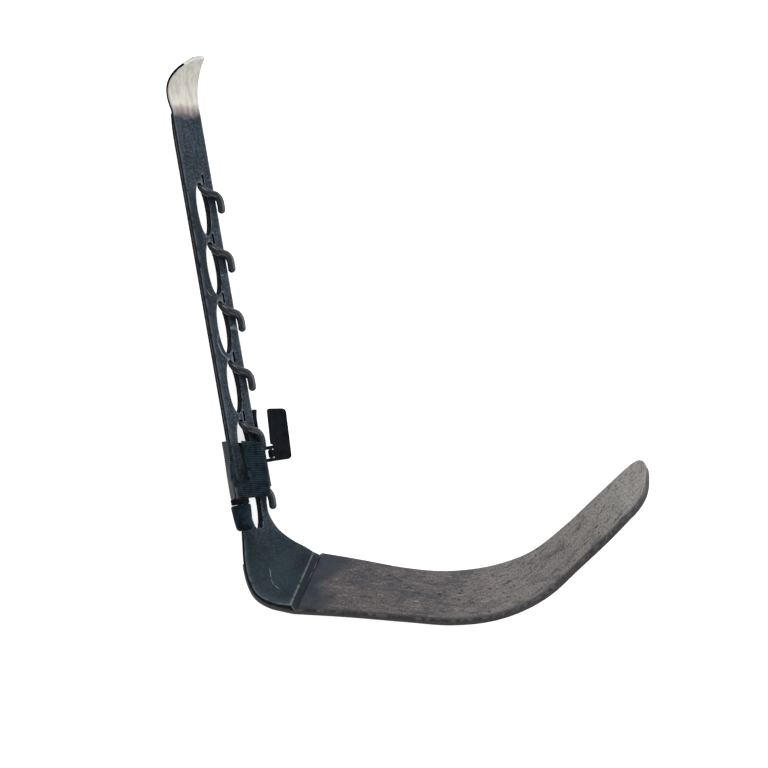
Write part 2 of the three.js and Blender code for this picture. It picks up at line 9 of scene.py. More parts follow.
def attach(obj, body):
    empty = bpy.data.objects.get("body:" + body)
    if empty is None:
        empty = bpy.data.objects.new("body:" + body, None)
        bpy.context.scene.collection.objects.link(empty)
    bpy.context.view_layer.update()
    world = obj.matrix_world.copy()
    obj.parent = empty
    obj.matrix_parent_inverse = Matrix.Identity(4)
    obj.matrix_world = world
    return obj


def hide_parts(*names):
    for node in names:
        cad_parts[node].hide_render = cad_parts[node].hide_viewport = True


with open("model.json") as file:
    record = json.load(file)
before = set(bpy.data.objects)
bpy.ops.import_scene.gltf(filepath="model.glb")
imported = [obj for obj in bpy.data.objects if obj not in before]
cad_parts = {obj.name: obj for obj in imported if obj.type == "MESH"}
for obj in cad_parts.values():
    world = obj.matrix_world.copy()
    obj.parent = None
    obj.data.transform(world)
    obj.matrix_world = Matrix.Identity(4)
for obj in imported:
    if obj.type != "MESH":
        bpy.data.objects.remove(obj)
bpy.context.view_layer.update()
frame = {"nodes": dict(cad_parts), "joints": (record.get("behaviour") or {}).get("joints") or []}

# ---- dimensions, in millimetres, in the tool's own frames ----------------------------------------
MM = 0.001
GAP = 0.3
LEAN = math.radians(9.85)
BAR_TILT = math.radians(22)
BLADE_TILT = math.radians(35)

BAR_WIDTH = 14.3
BAR_THICK = 3.4
STRAP_THICK = 3.0
BAR_TOP = 200.5
TIP_LENGTH = 24
TIP_BEND = math.radians(38)
TIP_CUT = 13.4
TIP_BELLY = 6.5
TIP_FLARE = 4.7

WINDOW_COUNT = 6
WINDOW_PITCH = 30
WINDOW_LENGTH = 27
WINDOW_WIDTH = 6.3
LOWEST_WINDOW = -14.5
SLIT_LENGTH = 5.4
SLIT_WIDTH = 1.0
SLIT_X = 2.4
SLIT_ABOVE_ROOT = 3.6

HOOK_RADIUS = 1.95
HOOK_RISE = 2.3
HOOK_ABOVE_WINDOW = 24.5

BLADE_THICK = 5.0
HEEL_END_Z = -2.6
BEVEL_DEPTH = 2.4
STRAP_BOTTOM = -15.5
STRAP_TOP = 199
STRAP_END_TAPER = 9
STRAP_END_INSET = 0.7

SLEEVE_BOTTOM = 2.7
SLEEVE_HEIGHT = 28.3
SLEEVE_HALF_WIDTH = 9.2
SLEEVE_TAPER = 1.3
SLEEVE_FRONT = 6.4
SLEEVE_FRONT_WALL = 1.7
SLEEVE_BACK = -9.9
SLEEVE_WALL = 1.7
BOTTOM_SLANT = math.tan(math.radians(4.5))
TOP_SLANT = math.tan(math.radians(12.5))
SLOT_SLANT = math.tan(math.radians(9))
SLOT_BOTTOM = 11.2
SLOT_RIGHT = -3.2
SIDE_TOP = 1.0
RIB_PITCH = 0.91
RIB_DEPTH = 0.24

KNOB_X, KNOB_Z = -9.4, 5.3
KNOB_RADIUS = 5.0
KNOB_TOP = 0.4
KNOB_LENGTH = 13.0
COLLAR_RADIUS = 4.6
SPINDLE_RADIUS = 1.4

TAB_PIN_X, TAB_PIN_Z = 10.9, 6.2
TAB_THICK = 1.6
KNUCKLE_RADIUS = 1.5
KNUCKLE_BOTTOM = 21.0
KNUCKLE_TOP = 24.7
EAR_LENGTH = 1.8

# ---- frames ---------------------------------------------------------------------------------------
joints = {joint["name"]: joint for joint in frame["joints"]}
BAR_TURN = Matrix.Rotation(LEAN, 4, "Z") @ Matrix.Rotation(BAR_TILT, 4, "Y")
tab_axis = Vector(joints["tab_turn"]["pos_m"])
tool_origin = tab_axis - BAR_TURN @ (Vector((TAB_PIN_X, (KNUCKLE_BOTTOM + KNUCKLE_TOP) / 2, TAB_PIN_Z)) * MM)
TOOL = Matrix.Translation(tool_origin) @ Matrix.Scale(MM, 4)
BAR = TOOL @ BAR_TURN


# ---- mesh helpers ---------------------------------------------------------------------------------
def catmull(points):
    """A centripetal Catmull-Rom curve through points, as a function of a share from 0 to 1."""
    points = [Vector(p) for p in points]
    last = len(points) - 1

    def at(share):
        place = share * last
        i = min(int(place), last - 1)
        w = place - i
        p1, p2 = points[i], points[i + 1]
        p0 = points[i - 1] if i else 2 * p1 - p2
        p3 = points[i + 2] if i + 2 <= last else 2 * p2 - p1
        d0, d1, d2 = ((b - a).length ** 0.5 for a, b in ((p0, p1), (p1, p2), (p2, p3)))
        m1 = ((p1 - p0) / d0 - (p2 - p0) / (d0 + d1) + (p2 - p1) / d1) * d1
        m2 = ((p2 - p1) / d1 - (p3 - p1) / (d1 + d2) + (p3 - p2) / d2) * d1
        return p1 + m1 * w + (3 * (p2 - p1) - 2 * m1 - m2) * w**2 + (2 * (p1 - p2) + m1 + m2) * w**3

    return at


def plan(points):
    return catmull([(x, y, 0) for x, y in points])


def loft(rings):
    """Points and faces of a closed skin through rings of equal length."""
    size = len(rings[0])
    points = [p for ring in rings for p in ring]
    faces = []
    for r in range(len(rings) - 1):
        for i in range(size):
            j = (i + 1) % size
            faces.append((r * size + i, r * size + j, (r + 1) * size + j, (r + 1) * size + i))
    faces.append(tuple(reversed(range(size))))
    faces.append(tuple(range((len(rings) - 1) * size, len(rings) * size)))
    return points, faces


def new_object(name, points, faces, matrix=BAR):
    """A mesh object from points in one of the tool's frames. Its faces are turned outwards."""
    mesh = bpy.data.meshes.new(name)
    mesh.from_pydata([matrix @ Vector(p) for p in points], [], faces)
    work = bmesh.new()
    work.from_mesh(mesh)
    bmesh.ops.recalc_face_normals(work, faces=work.faces)
    work.to_mesh(mesh)
    work.free()
    made = bpy.data.objects.new(name, mesh)
    bpy.context.scene.collection.objects.link(made)
    return made


def bake(made):
    """Applies the object's modifiers to its mesh."""
    graph = bpy.context.evaluated_depsgraph_get()
    mesh = bpy.data.meshes.new_from_object(made.evaluated_get(graph))
    made.modifiers.clear()
    made.data = mesh


def boolean(made, others, operation):
    """Cuts the other objects from this one, or adds them, and removes them."""
    for other in others:
        step = made.modifiers.new("boolean", "BOOLEAN")
        step.operation = operation
        step.solver = "EXACT"
        step.object = other
    bake(made)
    for other in others:
        bpy.data.objects.remove(other)


def soften(made, width, segments=2, angle=40):
    """Rounds the sharp edges of an object."""
    step = made.modifiers.new("bevel", "BEVEL")
    step.width = width * MM
    step.segments = segments
    step.limit_method = "ANGLE"
    step.angle_limit = math.radians(angle)
    step.use_clamp_overlap = True
    bake(made)


def finish_surface(made, matrix=BAR, flow=None):
    """Smooth shading, and what the materials read: the place on the piece, and how sharp an edge is."""
    mesh = made.data
    work = bmesh.new()
    work.from_mesh(mesh)
    normals = []
    wear = []
    for vertex in work.verts:
        normal = sum((f.normal * f.calc_area() for f in vertex.link_faces), Vector((0, 0, 0)))
        normals.append(normal.normalized() if normal.length > 0 else Vector((0, 0, 1)))
        sharp = max((edge.calc_face_angle_signed(0) for edge in vertex.link_edges), default=0)
        wear.append(min(max((sharp - 0.16) / 0.35, 0), 1))
    work.free()
    mesh.polygons.foreach_set("use_smooth", [True] * len(mesh.polygons))
    mesh.normals_split_custom_set_from_vertices(normals)
    mesh.attributes.new("wear", "FLOAT", "POINT").data.foreach_set("value", wear)
    back = matrix.inverted()
    places = flow or [(back @ v.co) * MM for v in mesh.vertices]
    flat = [c for p in places for c in p]
    mesh.attributes.new("flow", "FLOAT_VECTOR", "POINT").data.foreach_set("vector", flat)
    return made


def block(x0, x1, y0, y1, z0, z1):
    corners = [(x, y, z) for x in (x0, x1) for y in (y0, y1) for z in (z0, z1)]
    faces = [(0, 1, 3, 2), (4, 6, 7, 5), (0, 4, 5, 1), (2, 3, 7, 6), (0, 2, 6, 4), (1, 5, 7, 3)]
    return new_object("block", corners, faces)


def prism(outline, z0, z1, name="prism"):
    """A prism of an outline in x and y, from z0 to z1."""
    return new_object(name, *loft([[(x, y, z) for x, y in outline] for z in (z0, z1)]))


def turned(name, profile, x, z, sides=64, flutes=None):
    """A turned piece about an axis along y, from (radius, y) pairs, less flutes(y, angle) all round."""
    rings = []
    for radius, y in profile:
        ring = []
        for i in range(sides):
            angle = 2 * math.pi * i / sides
            r = radius - (flutes(y, angle) if flutes else 0)
            ring.append((x + r * math.cos(angle), y, z + r * math.sin(angle)))
        rings.append(ring)
    return new_object(name, *loft(rings))


def round_profile(radius, y0, y1, corner, steps=4):
    """(radius, y) pairs of a cylinder with round corners."""
    turn = [math.pi / 2 * i / steps for i in range(steps + 1)]
    low = [(radius - corner + corner * math.sin(a), y0 + corner - corner * math.cos(a)) for a in turn]
    high = [(radius - corner + corner * math.cos(a), y1 - corner + corner * math.sin(a)) for a in turn]
    return low + high


def cylinder(radius, x, z, y0, y1, corner=0.2, name="cylinder", sides=40):
    return turned(name, round_profile(radius, y0, y1, corner), x, z, sides)


# ---- bar and heel ---------------------------------------------------------------------------------
heel_outer = plan([
    (-7.0, -1.0), (-5.8, -10), (-5.1, -19), (-4.2, -30),
    (-1.8, -38.8), (2.4, -45.1), (9.5, -48.7), (18.4, -50.2),
])
heel_inner = plan([
    (6.0, 1.2), (7.4, -5.5), (11.4, -12.2), (15.2, -15.7),
    (20.2, -19.1), (25.2, -21.6), (29.6, -24.4),
])


def station(outer, inner, inner_z, tilt):
    """A tilted band's face corners and normal, from its edges seen from above."""
    across = inner - outer
    high = Vector((outer.x, outer.y, inner_z + across.length * math.tan(tilt)))
    low = Vector((inner.x, inner.y, inner_z))
    side = across.normalized() * math.sin(tilt)
    return high, low, Vector((side.x, side.y, math.cos(tilt)))


def heel_station(share):
    tilt = BAR_TILT + (BLADE_TILT - BAR_TILT) * share
    return station(heel_outer(share), heel_inner(share), HEEL_END_Z, tilt)


def bar_station(y, left=-BAR_WIDTH / 2, right=BAR_WIDTH / 2, z=0.0, bend=0.0):
    normal = Vector((0, -math.sin(bend), math.cos(bend)))
    return BAR_TURN @ Vector((left, y, z)), BAR_TURN @ Vector((right, y, z)), BAR_TURN @ normal


def flat_ring(outer, inner, normal, top, bottom, radius=0.5, spans=12):
    """A flat bar's section with round corners, and (across, depth) for each of its points."""
    width = (inner - outer).length
    r = min(radius, width * 0.3, (top - bottom) * 0.4)
    across = (inner - outer) / width
    outline = []
    for centre_u, centre_d, start in (
        (width - r, top - r, 90),
        (width - r, bottom + r, 0),
        (r, bottom + r, -90),
        (r, top - r, -180),
    ):
        for i in range(5):
            angle = math.radians(start - 22.5 * i)
            outline.append((centre_u + r * math.cos(angle), centre_d + r * math.sin(angle)))
    for i in range(1, spans):
        outline.append((r + (width - 2 * r) * i / spans, top))
    ring = [outer + across * u + normal * d for u, d in outline]
    return ring, [(u, top - d) for u, d in outline]


def bevel_rings():
    """The heel's bevelled end, with rings close to its two edges so that wear stays at the edges."""
    end = station(Vector((21.0, -52.2, 0)), Vector((33.4, -24.9, 0)), HEEL_END_Z, BLADE_TILT)
    low = flat_ring(*end, -BEVEL_DEPTH, -BAR_THICK)[0]
    high = flat_ring(*heel_station(1), 0, -BAR_THICK)[0]
    return [[a.lerp(b, share) for a, b in zip(low, high)] for share in (0, 0.12, 0.5, 0.86)]


def tip_stations(steps=30):
    made = []
    radius = TIP_LENGTH / TIP_BEND
    for i in range(1, steps + 1):
        share = i / steps
        bend = TIP_BEND * share
        left = -BAR_WIDTH / 2 + TIP_CUT * share**4 - TIP_BELLY * share * (1 - share)
        right = BAR_WIDTH / 2 + TIP_FLARE * share**1.9
        y = BAR_TOP + radius * math.sin(bend)
        made.append(bar_station(y, left, right, radius * (1 - math.cos(bend)), bend))
    return made


def window_cutters(z0, z1):
    cutters = []
    for i in range(WINDOW_COUNT):
        middle = LOWEST_WINDOW + i * WINDOW_PITCH + WINDOW_LENGTH / 2
        turns = [2 * math.pi * k / 72 for k in range(72)]
        wide, tall = WINDOW_WIDTH / 2, WINDOW_LENGTH / 2
        outline = [(wide * math.cos(a), middle + tall * math.sin(a)) for a in turns]
        cutters.append(prism(outline, z0, z1))
    return cutters


def hook_root(i):
    return LOWEST_WINDOW + i * WINDOW_PITCH + HOOK_ABOVE_WINDOW


def slit_cutters():
    cutters = []
    end = (SLIT_LENGTH - SLIT_WIDTH) / 2
    for i in range(WINDOW_COUNT):
        middle = hook_root(i) + SLIT_ABOVE_ROOT
        outline = []
        for k in range(18):
            angle = 2 * math.pi * (k + 0.5) / 18
            y = middle + math.copysign(end, math.sin(angle)) + SLIT_WIDTH / 2 * math.sin(angle)
            outline.append((SLIT_X + SLIT_WIDTH / 2 * math.cos(angle), y))
        cutters.append(prism(outline, -BAR_THICK - 1, 1))
    return cutters


def rack_bar():
    steps = 48
    stations = [heel_station(i / steps) for i in range(steps, 0, -1)]
    stations += [bar_station(2 + (BAR_TOP - 2) * i / 60) for i in range(61)]
    stations += tip_stations()
    rings = bevel_rings() + [flat_ring(*s, 0, -BAR_THICK, 0.7)[0] for s in stations]
    made = new_object("rack_bar_fine", *loft(rings), matrix=TOOL)
    boolean(made, window_cutters(-BAR_THICK - 1, 1) + slit_cutters(), "DIFFERENCE")
    soften(made, 0.3, 2, 50)
    return finish_surface(made)


def backing_strap():
    top = -BAR_THICK - GAP
    rings = []
    for i in range(61):
        y = STRAP_BOTTOM + (STRAP_TOP - STRAP_BOTTOM) * i / 60
        inset = STRAP_END_INSET * max(1 - (STRAP_TOP - y) / STRAP_END_TAPER, 0)
        s = bar_station(y, -BAR_WIDTH / 2 + inset, BAR_WIDTH / 2 - inset)
        rings.append(flat_ring(*s, top, top - STRAP_THICK)[0])
    made = new_object("backing_strap_fine", *loft(rings), matrix=TOOL)
    boolean(made, window_cutters(top - STRAP_THICK - 1, 1), "DIFFERENCE")
    soften(made, 0.3, 2, 50)
    return finish_surface(made)


# ---- hooks ----------------------------------------------------------------------------------------
def hook(number, root):
    """A round hook swept along its curve, with a round end, lying on the bar's face at its root."""
    route = catmull([
        (x, root + y, z)
        for x, y, z in (
            (-1.0, 1.2, -0.6),
            (0.9, -0.9, 0.8),
            (2.8, -3.1, 2.0),
            (4.8, -4.2, HOOK_RISE),
            (7.0, -5.4, HOOK_RISE),
            (8.3, -7.6, HOOK_RISE),
            (8.6, -10.4, HOOK_RISE),
            (8.5, -12.9, HOOK_RISE),
        )
    ])
    steps, sides, cap = 48, 28, 8
    rings = []
    side = Vector((0, 0, 1))
    for i in range(steps + cap + 1):
        share = min(i / steps, 1)
        ahead = (route(min(share + 0.01, 1)) - route(min(share + 0.01, 1) - 0.02)).normalized()
        side = (side - ahead * side.dot(ahead)).normalized()
        other = ahead.cross(side)
        turn = math.pi / 2 * max(i - steps, 0) / cap
        rising = min(i / 9, 1)
        radius = HOOK_RADIUS * max(math.cos(turn), 0.04) * (0.25 + 0.75 * math.sin(math.pi / 2 * rising))
        centre = route(share) + ahead * HOOK_RADIUS * math.sin(turn)
        ring = []
        for k in range(sides):
            angle = 2 * math.pi * k / sides
            p = centre + (side * math.cos(angle) + other * math.sin(angle)) * radius
            if p.x < BAR_WIDTH / 2:
                p.z = max(p.z, 0.05)
            ring.append(p)
        rings.append(ring)
    made = new_object(f"hook_{number}_fine", *loft(rings))
    return finish_surface(made)


# ---- blade ----------------------------------------------------------------------------------------
blade_outer = plan([
    (20.6, -52.8), (47, -54.4), (75, -56.8), (97.6, -58.5), (116.6, -56.8),
    (131.8, -52.2), (146.5, -44.1), (162, -30.1), (176.7, -16.3), (187.2, -5.5),
])
blade_inner = plan([
    (34.0, -25.0), (54, -28.4), (74, -32.1), (92, -33.9), (108, -33.1),
    (122, -30.4), (138, -24.3), (154, -12.2), (168.5, 1.3), (180, 12.1),
])
BLADE_DROP = BAR_THICK + GAP
BLADE_INNER_Z = HEEL_END_Z - BLADE_DROP / math.cos(BLADE_TILT)
TIP_FACING = math.radians(125)
TANG_TOP = 0.42


def blade_stations():
    """Stations from the tang's end to the rounded tip."""
    made = []
    for i in range(18):
        share = TANG_TOP + (0.985 - TANG_TOP) * i / 17
        outer, inner, normal = heel_station(share)
        wide = inner - outer
        outer = outer + wide * 0.1 * (1 - share)
        inner = inner - wide * 0.1
        made.append((outer - normal * BLADE_DROP, inner - normal * BLADE_DROP, normal))
    steps = 110
    for i in range(steps + 1):
        share = i / steps
        made.append(station(blade_outer(share), blade_inner(share), BLADE_INNER_Z, BLADE_TILT))
    lean = math.sin(BLADE_TILT)
    facing = Vector((lean * math.cos(TIP_FACING), lean * math.sin(TIP_FACING), math.cos(BLADE_TILT)))
    base = made[-1][1]
    outers = plan([(187.2, -5.5), (190.4, -1.9), (193.3, 2.2), (195.3, 6.8), (196.1, 11.6), (196.2, 15.2)])
    inners = plan([(180, 12.1), (184.8, 16.5), (188.9, 19.9), (192.2, 21.6), (194.6, 21.0), (195.9, 18.7)])
    for i in range(1, 21):
        share = i / 20
        ends = []
        for p in (outers(share), inners(share)):
            z = base.z - (facing.x * (p.x - base.x) + facing.y * (p.y - base.y)) / facing.z
            ends.append(Vector((p.x, p.y, z)))
        made.append((*ends, facing.normalized()))
    return made


def blade():
    """The blade, with small dents in its worn face. Its flow runs along and across it, in metres."""
    rings = []
    flow = []
    along = 0.0
    before = None
    for outer, inner, normal in blade_stations():
        middle = (outer + inner) / 2
        along += (middle - before).length if before else 0.0
        before = middle
        ring, sheet = flat_ring(outer, inner, normal, 0, -BLADE_THICK, 1.0, 26)
        dented = []
        for p, (u, depth) in zip(ring, sheet):
            dent = noise.noise(p * 0.09) * 0.22 + noise.noise(p * 0.3) * 0.10
            dented.append(p - normal * max(dent, 0) * (1 if depth < 0.5 else 0))
            flow.append((along * MM, u * MM, depth * MM))
        rings.append(dented)
    made = new_object("blade_fine", *loft(rings), matrix=TOOL)
    return finish_surface(made, flow=flow)


# ---- sleeve ---------------------------------------------------------------------------------------
def round_outline(corners):
    """Points and outward normals of an outline with round corners, anticlockwise as (x, z, radius)."""
    made = []
    count = len(corners)
    for i, (x, z, radius) in enumerate(corners):
        here = Vector((x, z))
        back = (Vector(corners[i - 1][:2]) - here).normalized()
        on = (Vector(corners[(i + 1) % count][:2]) - here).normalized()
        half = back.angle(on) / 2
        reach = radius / math.tan(half)
        centre = here + (back + on).normalized() * (radius / math.sin(half))
        first = math.atan2(*reversed(here + back * reach - centre))
        sweep = math.pi - 2 * half
        for k in range(7):
            angle = first + sweep * k / 6
            normal = Vector((math.cos(angle), math.sin(angle)))
            made.append((centre + normal * radius, normal))
    full = []
    for i, (point, normal) in enumerate(made):
        full.append((point, normal))
        if i % 7 == 6:
            following = made[(i + 1) % len(made)]
            for k in range(1, 6):
                full.append((point.lerp(following[0], k / 6), normal))
    return full


def rib(y):
    return RIB_DEPTH * (0.5 - 0.5 * math.cos(2 * math.pi * y / RIB_PITCH))


def slanted(x, y):
    """The height of a sleeve point once its end faces drop to the right."""
    share = (y - SLEEVE_BOTTOM) / SLEEVE_HEIGHT
    return y - (BOTTOM_SLANT + (TOP_SLANT - BOTTOM_SLANT) * share) * x


def sleeve_skin():
    """The ribbed outside. Towards the bottom its left corner swells, to carry the knob."""
    w, front, back = SLEEVE_HALF_WIDTH, SLEEVE_FRONT, SLEEVE_BACK
    slim = round_outline([(-w, back, 2.6), (w, back, 2.0), (w, front, 2.6), (-w, front, 2.4)])
    swollen = (-w - 3.0, front + 2.6, 4.6)
    wide = round_outline([(-w, back, 2.6), (w, back, 2.0), (w, front, 2.6), swollen])
    rings = []
    count = round(SLEEVE_HEIGHT / RIB_PITCH * 6)
    edge = 0.8
    for i in range(count + 1):
        y = SLEEVE_HEIGHT * i / count
        near = min(min(y, SLEEVE_HEIGHT - y) / edge, 1)
        inset = edge * (1 - math.sqrt(1 - (1 - near) ** 2)) + rib(y) * near
        thick = 1 - min(max((y + SLEEVE_BOTTOM - SLOT_BOTTOM) / 14, 0), 1)
        thick = thick * thick * (3 - 2 * thick)
        ring = []
        for (a, na), (b, nb) in zip(slim, wide):
            p = a.lerp(b, thick) - na.lerp(nb, thick).normalized() * inset
            x = p.x - SLEEVE_TAPER * (1 - y / SLEEVE_HEIGHT) * min(max(p.x / 4, 0), 1)
            ring.append((x, slanted(x, SLEEVE_BOTTOM + y), p.y))
        rings.append(ring)
    return new_object("sleeve_fine", *loft(rings))


def slot_block():
    """What the slot in the sleeve's front takes away: its lower end drops to the right."""
    far = 60
    made = block(-far, SLOT_RIGHT, SLOT_BOTTOM, far, SIDE_TOP, far)
    back = BAR.inverted()
    for vertex in made.data.vertices:
        p = back @ vertex.co
        p.y -= SLOT_SLANT * p.x
        vertex.co = BAR @ p
    return made


LEAF_THICK = 1.6
LEAF_X = BAR_WIDTH / 2 + GAP
LEAF_FRONT, LEAF_BACK = -0.5, -6.0


def sleeve():
    far = 60
    inside = SLEEVE_HALF_WIDTH - SLEEVE_WALL
    front_inside = SLEEVE_FRONT - SLEEVE_FRONT_WALL
    back_inside = -BAR_THICK - GAP - STRAP_THICK - 1.0 - 2 * GAP
    leaf_side = LEAF_X + LEAF_THICK + GAP
    knuckle_side = SLEEVE_HALF_WIDTH - 0.5
    made = sleeve_skin()
    low, high = SLEEVE_BOTTOM + 4, SLEEVE_BOTTOM + SLEEVE_HEIGHT - 4
    leaf_rail = block(4, leaf_side + 1.4, low, high, SLEEVE_BACK + 0.6, LEAF_FRONT - 0.6)
    boolean(made, [leaf_rail], "UNION")
    cuts = [
        block(-inside, LEAF_X, -far, far, back_inside, front_inside),
        block(0, leaf_side, -far, far, LEAF_BACK - GAP, 0),
        block(0, far, -far, far, -0.1, front_inside),
        slot_block(),
        block(knuckle_side, far, KNUCKLE_BOTTOM - GAP, KNUCKLE_TOP + GAP, front_inside - 1, far),
        cylinder(SPINDLE_RADIUS + 0.1, KNOB_X, KNOB_Z, -far, SLOT_BOTTOM - 1.5),
        cylinder(COLLAR_RADIUS + GAP, KNOB_X, KNOB_Z, -far, SLEEVE_BOTTOM + 1.3, 0.1),
    ]
    boolean(made, cuts, "DIFFERENCE")
    soften(made, 0.22, 2, 62)
    return finish_surface(made)


def sleeve_ear(name, y):
    """One ear of the tab's hinge, with its web to the sleeve's front wall."""
    made = cylinder(KNUCKLE_RADIUS, TAB_PIN_X, TAB_PIN_Z, y, y + EAR_LENGTH, 0.2, name)
    low = SLEEVE_FRONT - SLEEVE_FRONT_WALL + 0.1
    web = block(6, TAB_PIN_X, y + 0.05, y + EAR_LENGTH - 0.05, low, SLEEVE_FRONT - 0.1)
    boolean(made, [web], "UNION")
    soften(made, 0.12, 2, 50)
    return finish_surface(made)


def edge_leaf():
    top = SLEEVE_BOTTOM + SLEEVE_HEIGHT + 15.1
    bottom = SLEEVE_BOTTOM + 3
    outline = [(LEAF_X, bottom), (LEAF_X + LEAF_THICK, bottom)]
    for k in range(9):
        s = k / 8
        outline.append((LEAF_X + LEAF_THICK + 0.8 * s * s, top - 7 + 6.6 * s))
    outline.append((LEAF_X + 1.3, top))
    for k in range(9):
        s = 1 - k / 8
        outline.append((LEAF_X + 0.8 * s * s, top - 7 + 6.6 * s))
    made = prism(outline, LEAF_BACK, LEAF_FRONT, "edge_leaf_fine")
    soften(made, 0.25, 2, 40)
    return finish_surface(made)


# ---- knob and tab ---------------------------------------------------------------------------------
def knob():
    bottom = KNOB_TOP - KNOB_LENGTH
    outline = plan([
        (2.0, bottom),
        (3.3, bottom + 0.35),
        (4.1, bottom + 1.7),
        (4.5, bottom + 4.5),
        (KNOB_RADIUS - 0.1, bottom + 9.6),
        (KNOB_RADIUS, KNOB_TOP - 0.9),
        (KNOB_RADIUS - 0.25, KNOB_TOP - 0.2),
        (KNOB_RADIUS - 0.9, KNOB_TOP),
    ])
    profile = [(p.x, p.y) for p in (outline(i / 90) for i in range(91))]

    def flutes(y, angle):
        span = max(0, min((y - bottom - 2.4) / 1.2, 1, (KNOB_TOP - 1.5 - y) / 0.8))
        return 0.14 * span * (0.5 + 0.5 * math.cos(angle * 36))

    return finish_surface(turned("knob_fine", profile, KNOB_X, KNOB_Z, 216, flutes))


def knob_collar():
    bottom, top = KNOB_TOP + GAP, SLEEVE_BOTTOM + 1.0
    return finish_surface(cylinder(COLLAR_RADIUS, KNOB_X, KNOB_Z, bottom, top, 0.3, "knob_collar_fine", 64))


def corner(points, centre, radius, first, last, steps=6):
    """Adds a round corner to an outline, from angle first to angle last in degrees."""
    for k in range(steps + 1):
        angle = math.radians(first + (last - first) * k / steps)
        points.append((centre[0] + radius * math.cos(angle), centre[1] + radius * math.sin(angle)))


def thumb_tab():
    """A flat tab with round corners and a knuckle round its pin."""
    bottom = KNUCKLE_BOTTOM - GAP - EAR_LENGTH
    ear_top = KNUCKLE_TOP + GAP + EAR_LENGTH
    clear = TAB_PIN_X + KNUCKLE_RADIUS + GAP
    outline = [(TAB_PIN_X, KNUCKLE_BOTTOM), (clear, KNUCKLE_BOTTOM), (clear, bottom)]
    corner(outline, (19.0, bottom + 2.0), 2.2, -90, 0)
    corner(outline, (20.0, 42.0), 2.3, 0, 86)
    corner(outline, (13.8, 44.1), 1.1, 86, 178)
    outline += [(11.5, ear_top + 3 * GAP), (clear, ear_top + GAP)]
    outline += [(clear, KNUCKLE_TOP), (TAB_PIN_X, KNUCKLE_TOP)]
    made = prism(outline, TAB_PIN_Z - TAB_THICK / 2, TAB_PIN_Z + TAB_THICK / 2, "thumb_tab_fine")
    knuckle = cylinder(KNUCKLE_RADIUS, TAB_PIN_X, TAB_PIN_Z, KNUCKLE_BOTTOM, KNUCKLE_TOP, 0.15)
    boolean(made, [knuckle], "UNION")
    boolean(made, [cylinder(0.95, TAB_PIN_X, TAB_PIN_Z, 10, 35)], "DIFFERENCE")
    soften(made, 0.34, 3, 50)
    return finish_surface(made)


# ---- materials ------------------------------------------------------------------------------------
def rgb(r, g, b):
    """A colour given as 0 to 255 display values, in linear light."""

    def linear(value):
        return ((value / 255 + 0.055) / 1.055) ** 2.4 if value > 10 else value / 255 / 12.92

    return (linear(r), linear(g), linear(b), 1.0)


